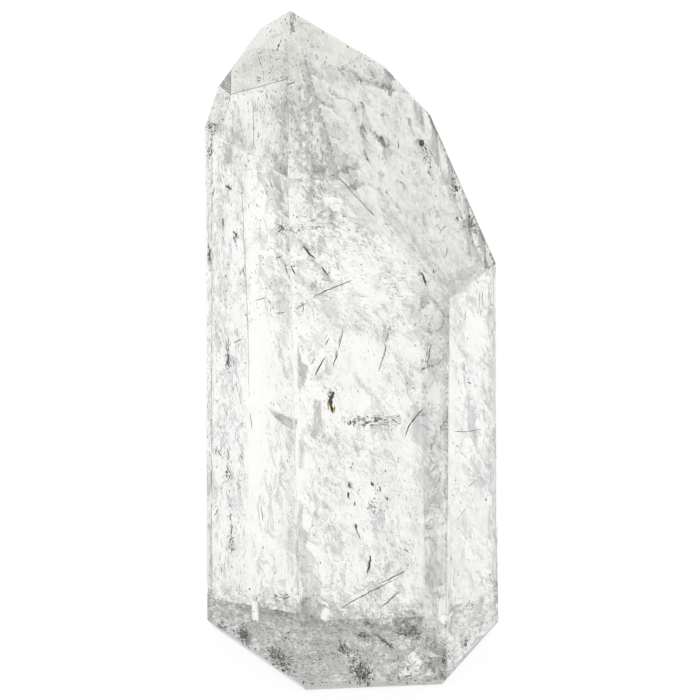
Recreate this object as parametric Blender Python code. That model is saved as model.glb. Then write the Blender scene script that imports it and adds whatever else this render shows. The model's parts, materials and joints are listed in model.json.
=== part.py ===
"""Quartz point: one clear stone, standing on its cut foot. Metres, +Z up, the widest facet to -Y."""
import math

import bmesh
import bpy
from mathutils import Vector

for leftover in list(bpy.data.objects):
    bpy.data.objects.remove(leftover, do_unlink=True)

# Overall size of the rough block that the faces are cut from
HEIGHT = 0.100
BLOCK_SIDE = 0.090

# The tip, where the four large sloping faces meet. It stands left of the middle.
TIP = Vector((-0.00905, 0.00180, HEIGHT))

# The six long prism faces: azimuth in degrees (0 looks out to -Y, 90 to +X), the tilt of the
# outward normal from straight up in degrees, and the distance of the face from the origin in metres.
# Tilts under 90 are faces that lean in a little towards the tip, as real prism faces do.
PRISM_FACES = {
    "front": (4.8, 89.0, 0.01908),
    "front_right": (64.8, 89.35, 0.02044),
    "back_right": (122.8, 87.9, 0.01941),
    "back": (184.8, 88.6, 0.01883),
    "back_left": (242.6, 88.4, 0.02070),
    "front_left": (306.2, 90.3, 0.01783),
}

# The four large sloping faces that run up to the tip: azimuth and tilt of the normal in degrees
TIP_FACES = {
    "tip_front": (9.2, 42.4),
    "tip_right": (66.7, 52.6),
    "tip_back": (187.6, 55.3),
    "tip_left": (309.3, 54.8),
}

# Two smaller sloping faces that cut the rear shoulders: azimuth, tilt, distance from the origin
SHOULDER_FACES = {
    "shoulder_right": (122.0, 51.0, 0.06351),
    "shoulder_left": (250.0, 57.7, 0.06334),
}

# Bevel round the cut foot: how far in and how far up the ground strip reaches
BEVEL_IN = 0.0010
BEVEL_UP = 0.00145

# Corners closer together than this are ground into one
CORNER_WELD = 0.0004


def outward(azimuth, tilt):
    """Outward normal of a face, from its azimuth and the tilt of the normal from straight up."""
    a, t = math.radians(azimuth), math.radians(tilt)
    return Vector((math.sin(a) * math.sin(t), -math.cos(a) * math.sin(t), math.cos(t)))


def cut(body, normal, distance):
    """Slice the body along a plane, drop what lies outside and close the cut with one flat face."""
    everything = body.verts[:] + body.edges[:] + body.faces[:]
    done = bmesh.ops.bisect_plane(body, geom=everything, dist=1e-7, plane_co=normal * distance,
                                  plane_no=normal, clear_outer=True)
    rim = [part for part in done["geom_cut"] if isinstance(part, bmesh.types.BMEdge)]
    if rim:
        bmesh.ops.contextual_create(body, geom=rim)


def crystal():
    """The stone: a block with every natural face cut on it in turn, then the foot bevelled."""
    body = bmesh.new()
    bmesh.ops.create_cube(body, size=1.0)
    bmesh.ops.scale(body, vec=(BLOCK_SIDE, BLOCK_SIDE, HEIGHT * 1.2), verts=body.verts[:])
    bmesh.ops.translate(body, vec=(0.0, 0.0, HEIGHT * 0.6), verts=body.verts[:])
    for azimuth, tilt, distance in list(PRISM_FACES.values()) + list(SHOULDER_FACES.values()):
        cut(body, outward(azimuth, tilt), distance)
    for azimuth, tilt in TIP_FACES.values():
        normal = outward(azimuth, tilt)
        cut(body, normal, normal.dot(TIP))
    for azimuth, tilt, distance in PRISM_FACES.values():
        lean = outward(azimuth, tilt)
        level = Vector((lean.x, lean.y, 0.0))
        at_foot = distance / level.length
        slope = (level.normalized() * BEVEL_UP + Vector((0.0, 0.0, -BEVEL_IN))).normalized()
        edge_point = level.normalized() * (at_foot - BEVEL_IN)
        cut(body, slope, slope.dot(edge_point))
    bmesh.ops.remove_doubles(body, verts=body.verts[:], dist=CORNER_WELD)
    bmesh.ops.recalc_face_normals(body, faces=body.faces[:])
    mesh = bpy.data.meshes.new("quartz_point")
    body.to_mesh(mesh)
    body.free()
    return mesh


def clear_quartz():
    """Clear quartz with the pale grey-green cast that its veils give it."""
    material = bpy.data.materials.new("clear quartz")
    material.use_nodes = True
    shader = material.node_tree.nodes["Principled BSDF"]
    shader.inputs["Base Color"].default_value = (0.80, 0.82, 0.79, 1.0)
    shader.inputs["Roughness"].default_value = 0.05
    shader.inputs["Metallic"].default_value = 0.0
    shader.inputs["IOR"].default_value = 1.544
    material.diffuse_color = (0.80, 0.82, 0.79, 1.0)
    return material


stone = bpy.data.objects.new("quartz_point", crystal())
stone.data.materials.append(clear_quartz())
bpy.context.scene.collection.objects.link(stone)
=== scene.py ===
# %% [markdown]
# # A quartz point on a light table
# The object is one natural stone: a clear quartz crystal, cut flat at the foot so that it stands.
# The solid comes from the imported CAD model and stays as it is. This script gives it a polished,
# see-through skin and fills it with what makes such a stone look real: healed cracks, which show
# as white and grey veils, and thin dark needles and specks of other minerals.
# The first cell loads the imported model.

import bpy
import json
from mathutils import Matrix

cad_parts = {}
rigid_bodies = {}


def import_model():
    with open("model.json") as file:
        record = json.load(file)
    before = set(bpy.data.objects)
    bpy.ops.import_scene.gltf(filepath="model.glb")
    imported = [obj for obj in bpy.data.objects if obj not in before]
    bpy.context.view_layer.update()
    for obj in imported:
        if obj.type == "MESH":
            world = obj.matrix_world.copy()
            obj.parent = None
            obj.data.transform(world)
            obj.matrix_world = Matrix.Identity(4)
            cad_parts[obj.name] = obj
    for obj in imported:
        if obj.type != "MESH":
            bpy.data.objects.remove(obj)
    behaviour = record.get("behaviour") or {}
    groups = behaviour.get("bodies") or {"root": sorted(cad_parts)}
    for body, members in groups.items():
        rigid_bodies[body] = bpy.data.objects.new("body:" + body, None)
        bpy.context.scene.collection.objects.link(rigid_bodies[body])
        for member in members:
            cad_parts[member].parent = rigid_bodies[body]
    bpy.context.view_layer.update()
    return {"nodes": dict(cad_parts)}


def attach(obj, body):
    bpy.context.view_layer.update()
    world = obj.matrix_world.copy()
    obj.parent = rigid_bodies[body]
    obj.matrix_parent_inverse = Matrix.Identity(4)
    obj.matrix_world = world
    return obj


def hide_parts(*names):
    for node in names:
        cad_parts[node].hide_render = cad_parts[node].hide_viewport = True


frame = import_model()

import json
import math

import bmesh
import bpy
import numpy as np
from mathutils import Vector

MM = 0.001
stone = frame["nodes"]["quartz_point"]

# %% [markdown]
# ## The camera
# The picture was taken from 23 degrees above level, straight on to the widest face, from far enough
# away that upright edges stay nearly parallel. The camera is made first, because the veils in the
# stone are later placed by the pixel at which they are seen. One pixel of the 700 x 700 picture is
# 0.1456 mm on the stone, and the lens is 3000 pixels long.

# %% Make the camera
FRAME_PIXELS = 700
LENS_PIXELS = 3000
PIXEL = 0.145623916801433 * MM
RISE = math.radians(23.0)
AIM = Vector((-0.4158 * MM, -12.477 * MM, 52.9924 * MM))

camera_data = bpy.data.cameras.new("camera")
camera_data.sensor_width = 36.0
camera_data.lens = camera_data.sensor_width * LENS_PIXELS / FRAME_PIXELS
camera_data.clip_start = 0.01
camera = bpy.data.objects.new("camera", camera_data)
bpy.context.scene.collection.objects.link(camera)
camera.location = AIM + LENS_PIXELS * PIXEL * Vector((0.0, -math.cos(RISE), math.sin(RISE)))
camera.rotation_euler = (math.pi / 2 - RISE, 0.0, 0.0)
bpy.context.scene.camera = camera
print("lens, mm:", round(camera_data.lens, 1))

# %% [markdown]
# ## Helpers for materials
# Colours are given as the hex values that a colour picker shows, and Blender counts in linear
# light, so one function turns one into the other. Another adds a node, sets it and links it, which
# keeps each material readable from its input to its output.

# %% Colour and node helpers
def linear(hex_colour):
    """sRGB hex to the linear RGBA that Blender uses."""
    parts = [int(hex_colour[i:i + 2], 16) / 255 for i in (1, 3, 5)]
    return tuple(c / 12.92 if c <= 0.04045 else ((c + 0.055) / 1.055) ** 2.4 for c in parts) + (1.0,)


def add_node(tree, kind, settings=None, **links):
    """A new node: settings holds properties by name and socket values by name or number; each link
    names an input, with spaces as underscores or n0 for input 0, and gives the socket it reads."""
    node = tree.nodes.new(kind)
    for key, value in (settings or {}).items():
        if isinstance(key, str) and hasattr(node, key) and key not in node.inputs:
            setattr(node, key, value)
        else:
            node.inputs[key].default_value = value
    for key, socket in links.items():
        number = key[1:].isdigit() and key[0] == "n"
        tree.links.new(socket, node.inputs[int(key[1:]) if number else key.replace("_", " ")])
    return node


def new_material(name, **values):
    """A material with its Principled shader's plain values set; returns it with tree and shader."""
    material = bpy.data.materials.new(name)
    material.use_nodes = True
    tree = material.node_tree
    shader = tree.nodes["Principled BSDF"]
    for key, value in values.items():
        shader.inputs[key.replace("_", " ")].default_value = value
    return material, tree, shader

# %% [markdown]
# ## The polished skin of the stone
# The faces of a quartz point are flat and glossy, and where two of them meet the edge is worn just
# enough to catch a thin line of light. The CAD mesh is loose triangles, so a copy of it is merged
# and its flat faces are joined again. A Bevel modifier then wears the edges by a tenth of a
# millimetre: wide enough to glint, too narrow to change the outline.

# %% Copy, merge and wear the stone
EDGE_WEAR = 0.10 * MM

bpy.ops.object.select_all(action="DESELECT")
stone.select_set(True)
bpy.context.view_layer.objects.active = stone
bpy.ops.object.duplicate()
skin = bpy.context.view_layer.objects.active
skin.name = "crystal_skin"
bpy.ops.object.parent_clear(type="CLEAR_KEEP_TRANSFORM")
bpy.ops.object.mode_set(mode="EDIT")
bpy.ops.mesh.select_all(action="SELECT")
bpy.ops.mesh.remove_doubles(threshold=0.001 * MM)
bpy.ops.mesh.dissolve_limited(angle_limit=math.radians(0.3))
bpy.ops.mesh.normals_make_consistent(inside=False)
bpy.ops.object.mode_set(mode="OBJECT")
for key in [k for k in skin.keys() if k.startswith("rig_")]:
    del skin[key]

FACE_NORMALS = np.array([tuple(p.normal) for p in skin.data.polygons])
FACE_REACH = np.array([p.normal.dot(p.center) for p in skin.data.polygons])

wear = skin.modifiers.new("worn edges", "BEVEL")
wear.width = EDGE_WEAR
wear.segments = 2
wear.limit_method = "ANGLE"
wear.angle_limit = math.radians(8.0)
bpy.ops.object.modifier_apply(modifier=wear.name)
bpy.ops.object.shade_flat()
print("faces of the stone:", len(FACE_REACH), "- faces of the skin:", len(skin.data.polygons))

# %% [markdown]
# ## Clear quartz
# Quartz is silica. Its refractive index is 1.544, a little more than window glass, so it bends
# the light from the table and the room and mirrors it inside. A thick stone is never quite
# colourless: light that crosses it comes out faintly grey-green, which the Volume Absorption gives.
# Natural faces are polished but not true, so a very low bump, with swells some 6 mm across and a
# hundredth of a millimetre high, makes the straight reflections inside waver.

# %% The clear quartz material
QUARTZ_IOR = 1.544

clear_quartz, tree, shader = new_material(
    "clear_quartz_polished", Base_Color=(1.0, 1.0, 1.0, 1.0), Roughness=0.0, IOR=QUARTZ_IOR,
    Transmission_Weight=1.0)
place = add_node(tree, "ShaderNodeTexCoord")
swell = add_node(tree, "ShaderNodeTexNoise", {"Scale": 160.0, "Detail": 2.0, "Roughness": 0.45},
                 Vector=place.outputs["Object"])
bump = add_node(tree, "ShaderNodeBump", {"Strength": 1.0, "Distance": 0.035 * MM},
                Height=swell.outputs["Fac"])
tree.links.new(bump.outputs["Normal"], shader.inputs["Normal"])
depth_tint = add_node(tree, "ShaderNodeVolumeAbsorption",
                      {"Color": (0.70, 0.75, 0.44, 1.0), "Density": 2.0})
tree.links.new(depth_tint.outputs["Volume"], tree.nodes["Material Output"].inputs["Volume"])
skin.data.materials.clear()
skin.data.materials.append(clear_quartz)
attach(skin, "root")
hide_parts("quartz_point")
print("material:", clear_quartz.name)

# %% [markdown]
# ## The table and the light
# A see-through stone is photographed on a light table: a white diffusing sheet lit from below. It
# is the sheet that shows through the stone, so it glows by itself and also takes light from the
# room. The room is plain and a little darker, which is why faces that look up through the foot of
# the stone come out grey. The sheet lies a fifth of a millimetre under the foot, so that light
# can get in between.

# %% Make the table and the room light
SHEET_GAP = 0.2 * MM
SHEET_SIDE = 6.0

bpy.ops.object.select_all(action="DESELECT")
bpy.ops.mesh.primitive_plane_add(size=SHEET_SIDE, location=(0.0, 0.0, -SHEET_GAP))
table = bpy.context.view_layer.objects.active
table.name = "light_table"
sheet = bpy.data.materials.new("white_diffusing_sheet")
sheet.use_nodes = True
sheet.node_tree.nodes.clear()
matt = add_node(sheet.node_tree, "ShaderNodeBsdfDiffuse", {"Color": (0.3, 0.3, 0.3, 1.0)})
glow = add_node(sheet.node_tree, "ShaderNodeEmission", {"Color": (1.0, 1.0, 1.0, 1.0), "Strength": 0.87})
both = add_node(sheet.node_tree, "ShaderNodeAddShader", n0=matt.outputs[0], n1=glow.outputs[0])
add_node(sheet.node_tree, "ShaderNodeOutputMaterial", Surface=both.outputs[0])
sheet.cycles.emission_sampling = "NONE"
table.data.materials.append(sheet)

room = bpy.data.worlds.new("plain_room")
bpy.context.scene.world = room
room.use_nodes = True
room.node_tree.nodes["Background"].inputs["Color"].default_value = (1.0, 1.0, 1.0, 1.0)
room.node_tree.nodes["Background"].inputs["Strength"].default_value = 0.53
room.cycles.sampling_method = "NONE"
bpy.context.scene.view_settings.view_transform = "Standard"
bpy.context.scene.cycles.transparent_max_bounces = 96
bpy.context.scene.cycles.max_bounces = 20
bpy.context.scene.cycles.glossy_bounces = 20
bpy.context.scene.cycles.transmission_bounces = 20
print("room strength:", 0.53)

# %% [markdown]
# ## Looking into the stone
# Everything inside the stone is seen through a face that bends the view. To put a needle where
# the picture shows it, its pixel is followed as a ray: to the face it meets, bent there by Snell's
# law, and on through the stone. The stone is convex, so the face that is met is simply the last of
# those that the ray crosses going in, and the way out is the first of those that it crosses going
# out. A depth of 0 is the near side and 1 the far side.

# %% Follow pixels into the stone
EYE = np.array(camera.location)
RIGHT = np.array((1.0, 0.0, 0.0))
UP = np.array((0.0, math.sin(RISE), math.cos(RISE)))
FORWARD = np.array((0.0, math.cos(RISE), -math.sin(RISE)))


def strike(pixels, face=None):
    """Where pixels meet the stone: entry point, bent direction, length of the way through, face."""
    rays = (FORWARD * LENS_PIXELS + np.outer(pixels[:, 0] - FRAME_PIXELS / 2, RIGHT)
            + np.outer(FRAME_PIXELS / 2 - pixels[:, 1], UP))
    rays /= np.linalg.norm(rays, axis=1)[:, None]
    facing = rays @ FACE_NORMALS.T
    reach = (FACE_REACH - FACE_NORMALS @ EYE) / np.where(abs(facing) < 1e-9, 1e-9, facing)
    going_in = np.where(facing < 0, reach, -np.inf)
    going_out = np.where(facing > 0, reach, np.inf).min(1)
    if face is None:
        face = going_in.argmax(1)
        face = np.where(going_in.max(1) < going_out, face, -1)
    rows = np.arange(len(pixels))
    entry = EYE + rays * reach[rows, face][:, None]
    slant = -facing[rows, face][:, None]
    ratio = 1.0 / QUARTZ_IOR
    straight = np.sqrt(1.0 - ratio ** 2 * (1.0 - slant ** 2))
    bent = ratio * rays + (ratio * slant - straight) * FACE_NORMALS[face]
    leaving = bent @ FACE_NORMALS.T
    left = FACE_REACH - entry @ FACE_NORMALS.T
    way = np.where(leaving > 1e-6, left / np.where(leaving > 1e-6, leaving, 1.0), np.inf).min(1)
    return entry, bent, way, face


middle = strike(np.array([[360.0, 400.0]]))
print("way through the middle, mm:", round(float(middle[2][0]) / MM, 1))

# %% [markdown]
# ## One flake, modelled once
# A healed crack is a sheet of countless tiny hollows and crystallites. Up close each is a small
# sliver with flat sides. One is modelled by hand: a four-sided cone, whose open rim is
# extruded down and closed to a point, which gives a closed sliver of eight triangles. All the
# veils are made of its copies, so it has to stay this plain.

# %% Model the flake
bpy.ops.object.select_all(action="DESELECT")
bpy.ops.mesh.primitive_cone_add(vertices=4, radius1=1.0, depth=1.0, location=(0.0, 0.0, 0.5),
                                end_fill_type="NOTHING")
flake = bpy.context.view_layer.objects.active
bpy.ops.object.mode_set(mode="EDIT")
bpy.ops.mesh.select_mode(type="EDGE")
bpy.ops.mesh.select_all(action="DESELECT")
bpy.ops.mesh.select_non_manifold()
bpy.ops.mesh.extrude_region_move(TRANSFORM_OT_translate={"value": (0.0, 0.0, -1.0)})
bpy.ops.transform.resize(value=(0.0, 0.0, 0.0))
bpy.ops.mesh.select_all(action="SELECT")
bpy.ops.mesh.remove_doubles(threshold=0.001)
bpy.ops.mesh.quads_convert_to_tris()
bpy.ops.mesh.normals_make_consistent(inside=False)
bpy.ops.object.mode_set(mode="OBJECT")
FLAKE_POINTS = np.array([tuple(v.co + Vector((0.0, 0.0, 0.0))) for v in flake.data.vertices])
FLAKE_FACES = np.array([list(p.vertices) for p in flake.data.polygons])
bpy.data.objects.remove(flake, do_unlink=True)
print("flake:", len(FLAKE_POINTS), "points,", len(FLAKE_FACES), "triangles")

# %% [markdown]
# ## Laying flakes
# Flakes are laid by the pixel at which they are seen, each with its length, width and direction in
# the picture and a depth in the stone. They are gathered by mineral, and joined into one mesh for
# each mineral at the end. A small margin keeps every flake clear of the stone's faces.

# %% Lay flakes, plates and threads
RANDOM = np.random.default_rng(1544)
FACE_CLEARANCE = 0.12 * MM
gathered = {}


def gather(mineral, points, faces):
    """Keep the copies that stay inside the stone. points is copies x corners x 3."""
    room_left = (FACE_REACH - points @ FACE_NORMALS.T).min(axis=(1, 2))
    kept = points[room_left > FACE_CLEARANCE]
    gathered.setdefault(mineral, []).append((kept, faces))
    return len(kept)


def smooth_noise(points, seed, octaves=2):
    """Smooth random values, about -1 to 1, at 2-D points one cell apart per unit."""
    total = np.zeros(len(points))
    for octave in range(octaves):
        spot = points * 2.0 ** octave + seed * 7.31
        cell = np.floor(spot).astype(np.int64)
        part = spot - cell
        part = part * part * (3.0 - 2.0 * part)
        corner = []
        for i, j in ((0, 0), (1, 0), (0, 1), (1, 1)):
            h = (cell[:, 0] + i) * 374761393 + (cell[:, 1] + j) * 668265263 + seed * 144665
            h = ((h ^ (h >> 13)) * 1274126177) & 0xFFFFFFFF
            corner.append(((h ^ (h >> 16)) & 0xFFFF) / 32767.5 - 1.0)
        low = corner[0] + (corner[1] - corner[0]) * part[:, 0]
        high = corner[2] + (corner[3] - corner[2]) * part[:, 0]
        total += (low + (high - low) * part[:, 1]) * 0.5 ** octave
    return total / (2.0 - 0.5 ** (octaves - 1))


def lay_flakes(mineral, pixels, heading, length, width, depth, tilt=0.5, thick=0.4, lean=0.0):
    """Lay one flake at each pixel. heading in degrees: 0 points right in the picture, 90 down.
    lean turns the flat side down from the eye, in degrees, towards the light of the table."""
    count = len(pixels)
    if not count:
        return 0
    heading = np.radians(np.broadcast_to(heading, count))
    entry, bent, way, face = strike(pixels)
    far = (way * depth)[:, None]
    centre = entry + bent * far
    along = np.stack((np.cos(heading), np.sin(heading)), 1)
    over = np.stack((-along[:, 1], along[:, 0]), 1)
    ends = []
    for step, size in ((along, length), (over, width)):
        e, b, _, _ = strike(pixels + step * (np.broadcast_to(size, count) / 2)[:, None], face)
        ends.append(e + b * far - centre)
    long_axis, wide_axis = ends
    up_axis = np.cross(long_axis, wide_axis)
    up_axis /= np.linalg.norm(up_axis, axis=1)[:, None] + 1e-12
    half = np.linalg.norm(wide_axis, axis=1)[:, None]
    turn = RANDOM.normal(0.0, tilt, count)[:, None]
    side = wide_axis * np.cos(turn) + up_axis * half * np.sin(turn)
    rise = (up_axis * half * np.cos(turn) - wide_axis * np.sin(turn)) * thick
    lean = np.radians(np.broadcast_to(lean, count))
    turned = []
    for axis in (long_axis, side, rise):
        turned.append(np.stack((axis[:, 0], axis[:, 1] * np.cos(lean) - axis[:, 2] * np.sin(lean),
                                axis[:, 1] * np.sin(lean) + axis[:, 2] * np.cos(lean)), 1))
    long_axis, side, rise = turned
    shape = FLAKE_POINTS[None] * RANDOM.uniform(0.55, 1.25, (count, len(FLAKE_POINTS), 1))
    points = (centre[:, None] + shape[..., :1] * long_axis[:, None]
              + shape[..., 1:2] * side[:, None] + shape[..., 2:] * rise[:, None])
    return gather(mineral, points[face >= 0], FLAKE_FACES)


def lay_thread(mineral, trail, width, depth, waver=0.0):
    """A closed needle or thread through a few pixels. depth is one number or its two ends."""
    trail = np.array(trail, float)
    steps = np.linalg.norm(np.diff(trail, axis=0), axis=1)
    run = np.concatenate(([0.0], np.cumsum(steps)))
    number = max(3, int(run[-1] / 2.5) + 2)
    at = np.linspace(0.0, run[-1], number)
    line = np.stack([np.interp(at, run, trail[:, k]) for k in (0, 1)], 1)
    line += RANDOM.normal(0.0, waver, line.shape)
    ends = np.atleast_1d(np.array(depth, float))
    share = np.interp(at / run[-1], (0.0, 1.0), (ends[0], ends[-1]))
    entry, bent, way, face = strike(line)
    core = entry + bent * (way * share)[:, None]
    travel = np.gradient(core, axis=0)
    travel /= np.linalg.norm(travel, axis=1)[:, None] + 1e-12
    side = np.cross(travel, bent)
    side /= np.linalg.norm(side, axis=1)[:, None] + 1e-12
    top = np.cross(side, travel)
    taper = np.sin(np.linspace(0.0, math.pi, number)) ** 0.35 + 0.03
    girth = (width * PIXEL / 2 * taper * RANDOM.uniform(0.75, 1.25, number))[:, None]
    rings = np.stack((core + side * girth, core + top * girth, core - side * girth,
                      core - top * girth), 1).reshape(-1, 3)
    faces = []
    for i in range(number - 1):
        for k in range(4):
            a, b = 4 * i + k, 4 * i + (k + 1) % 4
            faces += [(a, a + 4, b + 4), (a, b + 4, b)]
    last = 4 * (number - 1)
    faces += [(0, 1, 2), (0, 2, 3), (last, last + 2, last + 1), (last, last + 3, last + 2)]
    return gather(mineral, rings[None], np.array(faces))


def lay_plate(mineral, outline, depth, ragged=0.8, thick=0.6):
    """A thin closed plate seen within an outline of pixels, its rim ragged by some pixels."""
    outline = np.array(outline, float)
    rim = []
    for here, there in zip(outline, np.roll(outline, -1, axis=0)):
        parts = max(1, int(np.linalg.norm(there - here) / 3.0))
        rim += [here + (there - here) * k / parts for k in range(parts)]
    rim = np.array(rim)
    rim += RANDOM.normal(0.0, ragged, rim.shape) * 0.5
    middle = rim.mean(0)
    entry, bent, way, face = strike(np.vstack((rim, middle)))
    face[:] = face[-1]
    entry, bent, way, face = strike(np.vstack((rim, middle)), face)
    near = entry + bent * way[-1] * depth
    far = near + bent * thick * PIXEL
    points = np.vstack((near, far))
    n = len(rim)
    faces = []
    for k in range(n):
        j = (k + 1) % n
        faces += [(k, j, n), (n + 1 + j, n + 1 + k, 2 * n + 1),
                  (k, n + 1 + k, n + 1 + j), (k, n + 1 + j, j)]
    return gather(mineral, points[None], np.array(faces))


print("face clearance, mm:", round(FACE_CLEARANCE / MM, 2))

# %% [markdown]
# ## Veils
# Seen from the front a healed crack is a streaky cloud. Its flakes lie in trains along the flow
# of the crack, some trains bright, some grey. A cloud is laid inside an outline of pixels:
# candidates are strewn evenly, and a smooth noise that is stretched along the flow decides which
# are kept and which mineral they are. A second noise bends the sheet in depth, so that from the
# side the cloud is a wavy sheet too.

# %% Lay a cloud
def within(pixels, outline):
    """Which pixels lie inside an outline."""
    inside = np.zeros(len(pixels), bool)
    for (x0, y0), (x1, y1) in zip(outline, outline[1:] + outline[:1]):
        crosses = (y0 > pixels[:, 1]) != (y1 > pixels[:, 1])
        slope = (x1 - x0) / (y1 - y0) if y1 != y0 else 0.0
        inside ^= crosses & (pixels[:, 0] < x0 + (pixels[:, 1] - y0) * slope)
    return inside


cloud_number = 0


def lay_blot(mineral, middle, reach, heading, count, depth=0.15, length=(1.5, 4.5), width=(0.6, 1.6)):
    """A ragged knot of flakes round a pixel; reach is its half size along and across heading."""
    c, s = math.cos(math.radians(heading)), math.sin(math.radians(heading))
    strewn = RANDOM.normal(0.0, 0.5, (count, 2)) * np.array(reach)
    spots = np.array(middle) + np.stack((strewn[:, 0] * c - strewn[:, 1] * s,
                                         strewn[:, 0] * s + strewn[:, 1] * c), 1)
    deep = np.clip(depth + RANDOM.normal(0.0, 0.02, count), 0.02, 0.95)
    return lay_flakes(mineral, spots, heading + RANDOM.normal(0.0, 22.0, count),
                      RANDOM.uniform(length[0], length[1], count),
                      RANDOM.uniform(width[0], width[1], count), deep)


def lay_cloud(outline, heading, count, minerals, depth, sheet=0.10, grain=(9.0, 2.5), length=(1.5, 5.0),
              width=(0.45, 1.1), spread=14.0, cover=0.55):
    """minerals: pairs of name and share, from the brightest trains to the darkest."""
    global cloud_number
    cloud_number += 1
    box = np.array(outline, float)
    pixels = RANDOM.uniform(box.min(0), box.max(0), (count * 3, 2))
    pixels = pixels[within(pixels, outline)][:count]
    bend = smooth_noise(pixels / 70.0, cloud_number + 300)
    flow = np.radians(heading + 16.0 * bend)
    c, s = math.cos(math.radians(heading)), math.sin(math.radians(heading))
    flowing = np.stack(((pixels[:, 0] * c + pixels[:, 1] * s) / grain[0],
                        (pixels[:, 1] * c - pixels[:, 0] * s) / grain[1]), 1)
    trains = smooth_noise(flowing, cloud_number, 3)
    rank = trains.argsort().argsort() / max(1, len(trains))
    chance = smooth_noise(flowing * 0.37, cloud_number + 90)
    total = sum(share for _, share in minerals)
    bottom, laid = 0.0, 0
    for name, share in minerals:
        top = bottom + share / total
        mine = (rank >= bottom) & (rank < top)
        bottom = top
        if name is None:
            continue
        mine &= RANDOM.uniform(0, 1, len(rank)) < cover * (1.0 + 0.6 * chance)
        spot = pixels[mine]
        wave = smooth_noise(spot / 38.0, cloud_number + 500)
        deep = np.clip(RANDOM.uniform(depth[0], depth[1], len(spot)) + sheet * wave, 0.02, 0.97)
        laid += lay_flakes(name, spot, np.degrees(flow[mine]) + RANDOM.normal(0.0, spread, len(spot)),
                           RANDOM.uniform(length[0], length[1], len(spot)),
                           RANDOM.uniform(width[0], width[1], len(spot)), deep)
    return laid

# %% [markdown]
# ## Films
# Where a crack has healed almost to nothing it is a film, thinner than paint, that only tints
# what lies behind it. Each film is a wavy sheet of small squares inside an outline of pixels. Its
# UV map runs along the flow of the crack, in grains of the pattern, and an attribute named fade
# falls to 0 at the outline, so that no film ends in a hard line unless the crack does.

# %% Lay a film
STEP_HEIGHT = 1.6 * MM
films = {}


def rim_distance(pixels, outline):
    """Distance in pixels from each pixel to the nearest side of an outline."""
    best = np.full(len(pixels), np.inf)
    for a, b in zip(np.array(outline, float), np.roll(np.array(outline, float), -1, axis=0)):
        side = b - a
        share = np.clip((pixels - a) @ side / (side @ side), 0.0, 1.0)
        best = np.minimum(best, np.linalg.norm(pixels - a - share[:, None] * side, axis=1))
    return best


def lay_film(kind, outline, heading, depth, grain=(12.0, 3.0), wave=0.05, soft=8.0, strength=1.0,
             lean=0.0, facing=None, swirl=5.0, step=2.0):
    """depth: share of the way through, in the middle of the outline. strength scales the film's
    cover. lean, in degrees, turns the sheet's face down from the eye, towards the table; facing
    breaks it into flat steps instead, which all face one way: azimuth and tilt from straight up.
    swirl bends the flow, in pixels."""
    number = sum(len(parts) for parts in films.values()) + 1
    box = np.array(outline, float)
    low, high = box.min(0), box.max(0)
    columns, rows = (int(n) + 2 for n in (high - low) / step)
    u, v = np.meshgrid(low[0] + step * np.arange(columns), low[1] + step * np.arange(rows))
    pixels = np.stack((u.ravel(), v.ravel()), 1)
    entry, bent, way, face = strike(pixels)
    drop = (pixels[:, 1] - (low[1] + high[1]) / 2) * PIXEL
    deep = depth - math.tan(math.radians(lean)) * drop / way + wave * smooth_noise(pixels / 26.0, number + 40)
    level = np.zeros(len(pixels))
    if facing:
        a, b = np.radians(facing)
        normal = np.array((math.sin(a) * math.sin(b), -math.cos(a) * math.sin(b), math.cos(b)))
        reached = (entry + bent * (deep * way)[:, None]) @ normal
        level = np.round(reached / STEP_HEIGHT)
        deep = (level * STEP_HEIGHT - entry @ normal) / (bent @ normal) / way
    points = entry + bent * (np.clip(deep, 0.012, 0.97) * way)[:, None]
    inside = within(pixels, outline)
    clear = (FACE_REACH - points @ FACE_NORMALS.T).min(1) > FACE_CLEARANCE / 2
    corner = (np.arange(columns - 1)[None] + columns * np.arange(rows - 1)[:, None]).ravel()
    quads = np.stack((corner, corner + columns, corner + columns + 1, corner + 1), 1)
    same = (face[quads] == face[quads[:, :1]]).all(1) & (face[quads[:, 0]] >= 0)
    same &= (level[quads] == level[quads[:, :1]]).all(1)
    quads = quads[same & clear[quads].all(1) & inside[quads].any(1)]
    along = (pixels[:, 0] * math.cos(math.radians(heading)) + pixels[:, 1] * math.sin(math.radians(heading)))
    over = (pixels[:, 1] * math.cos(math.radians(heading)) - pixels[:, 0] * math.sin(math.radians(heading)))
    over = over + swirl * smooth_noise(pixels / 34.0, number + 10, 3)
    along = along + swirl * smooth_noise(pixels / 34.0, number + 20, 3)
    grains = np.stack((along / grain[0] + 13.7 * number, over / grain[1] + 5.3 * number), 1)
    fade = np.clip(rim_distance(pixels, outline) / soft, 0.0, 1.0) * inside * strength
    used = np.unique(quads)
    slot = np.full(len(pixels), -1)
    slot[used] = np.arange(len(used))
    films.setdefault(kind, []).append((points[used], slot[quads], grains[used], fade[used]))
    return len(quads)


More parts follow.
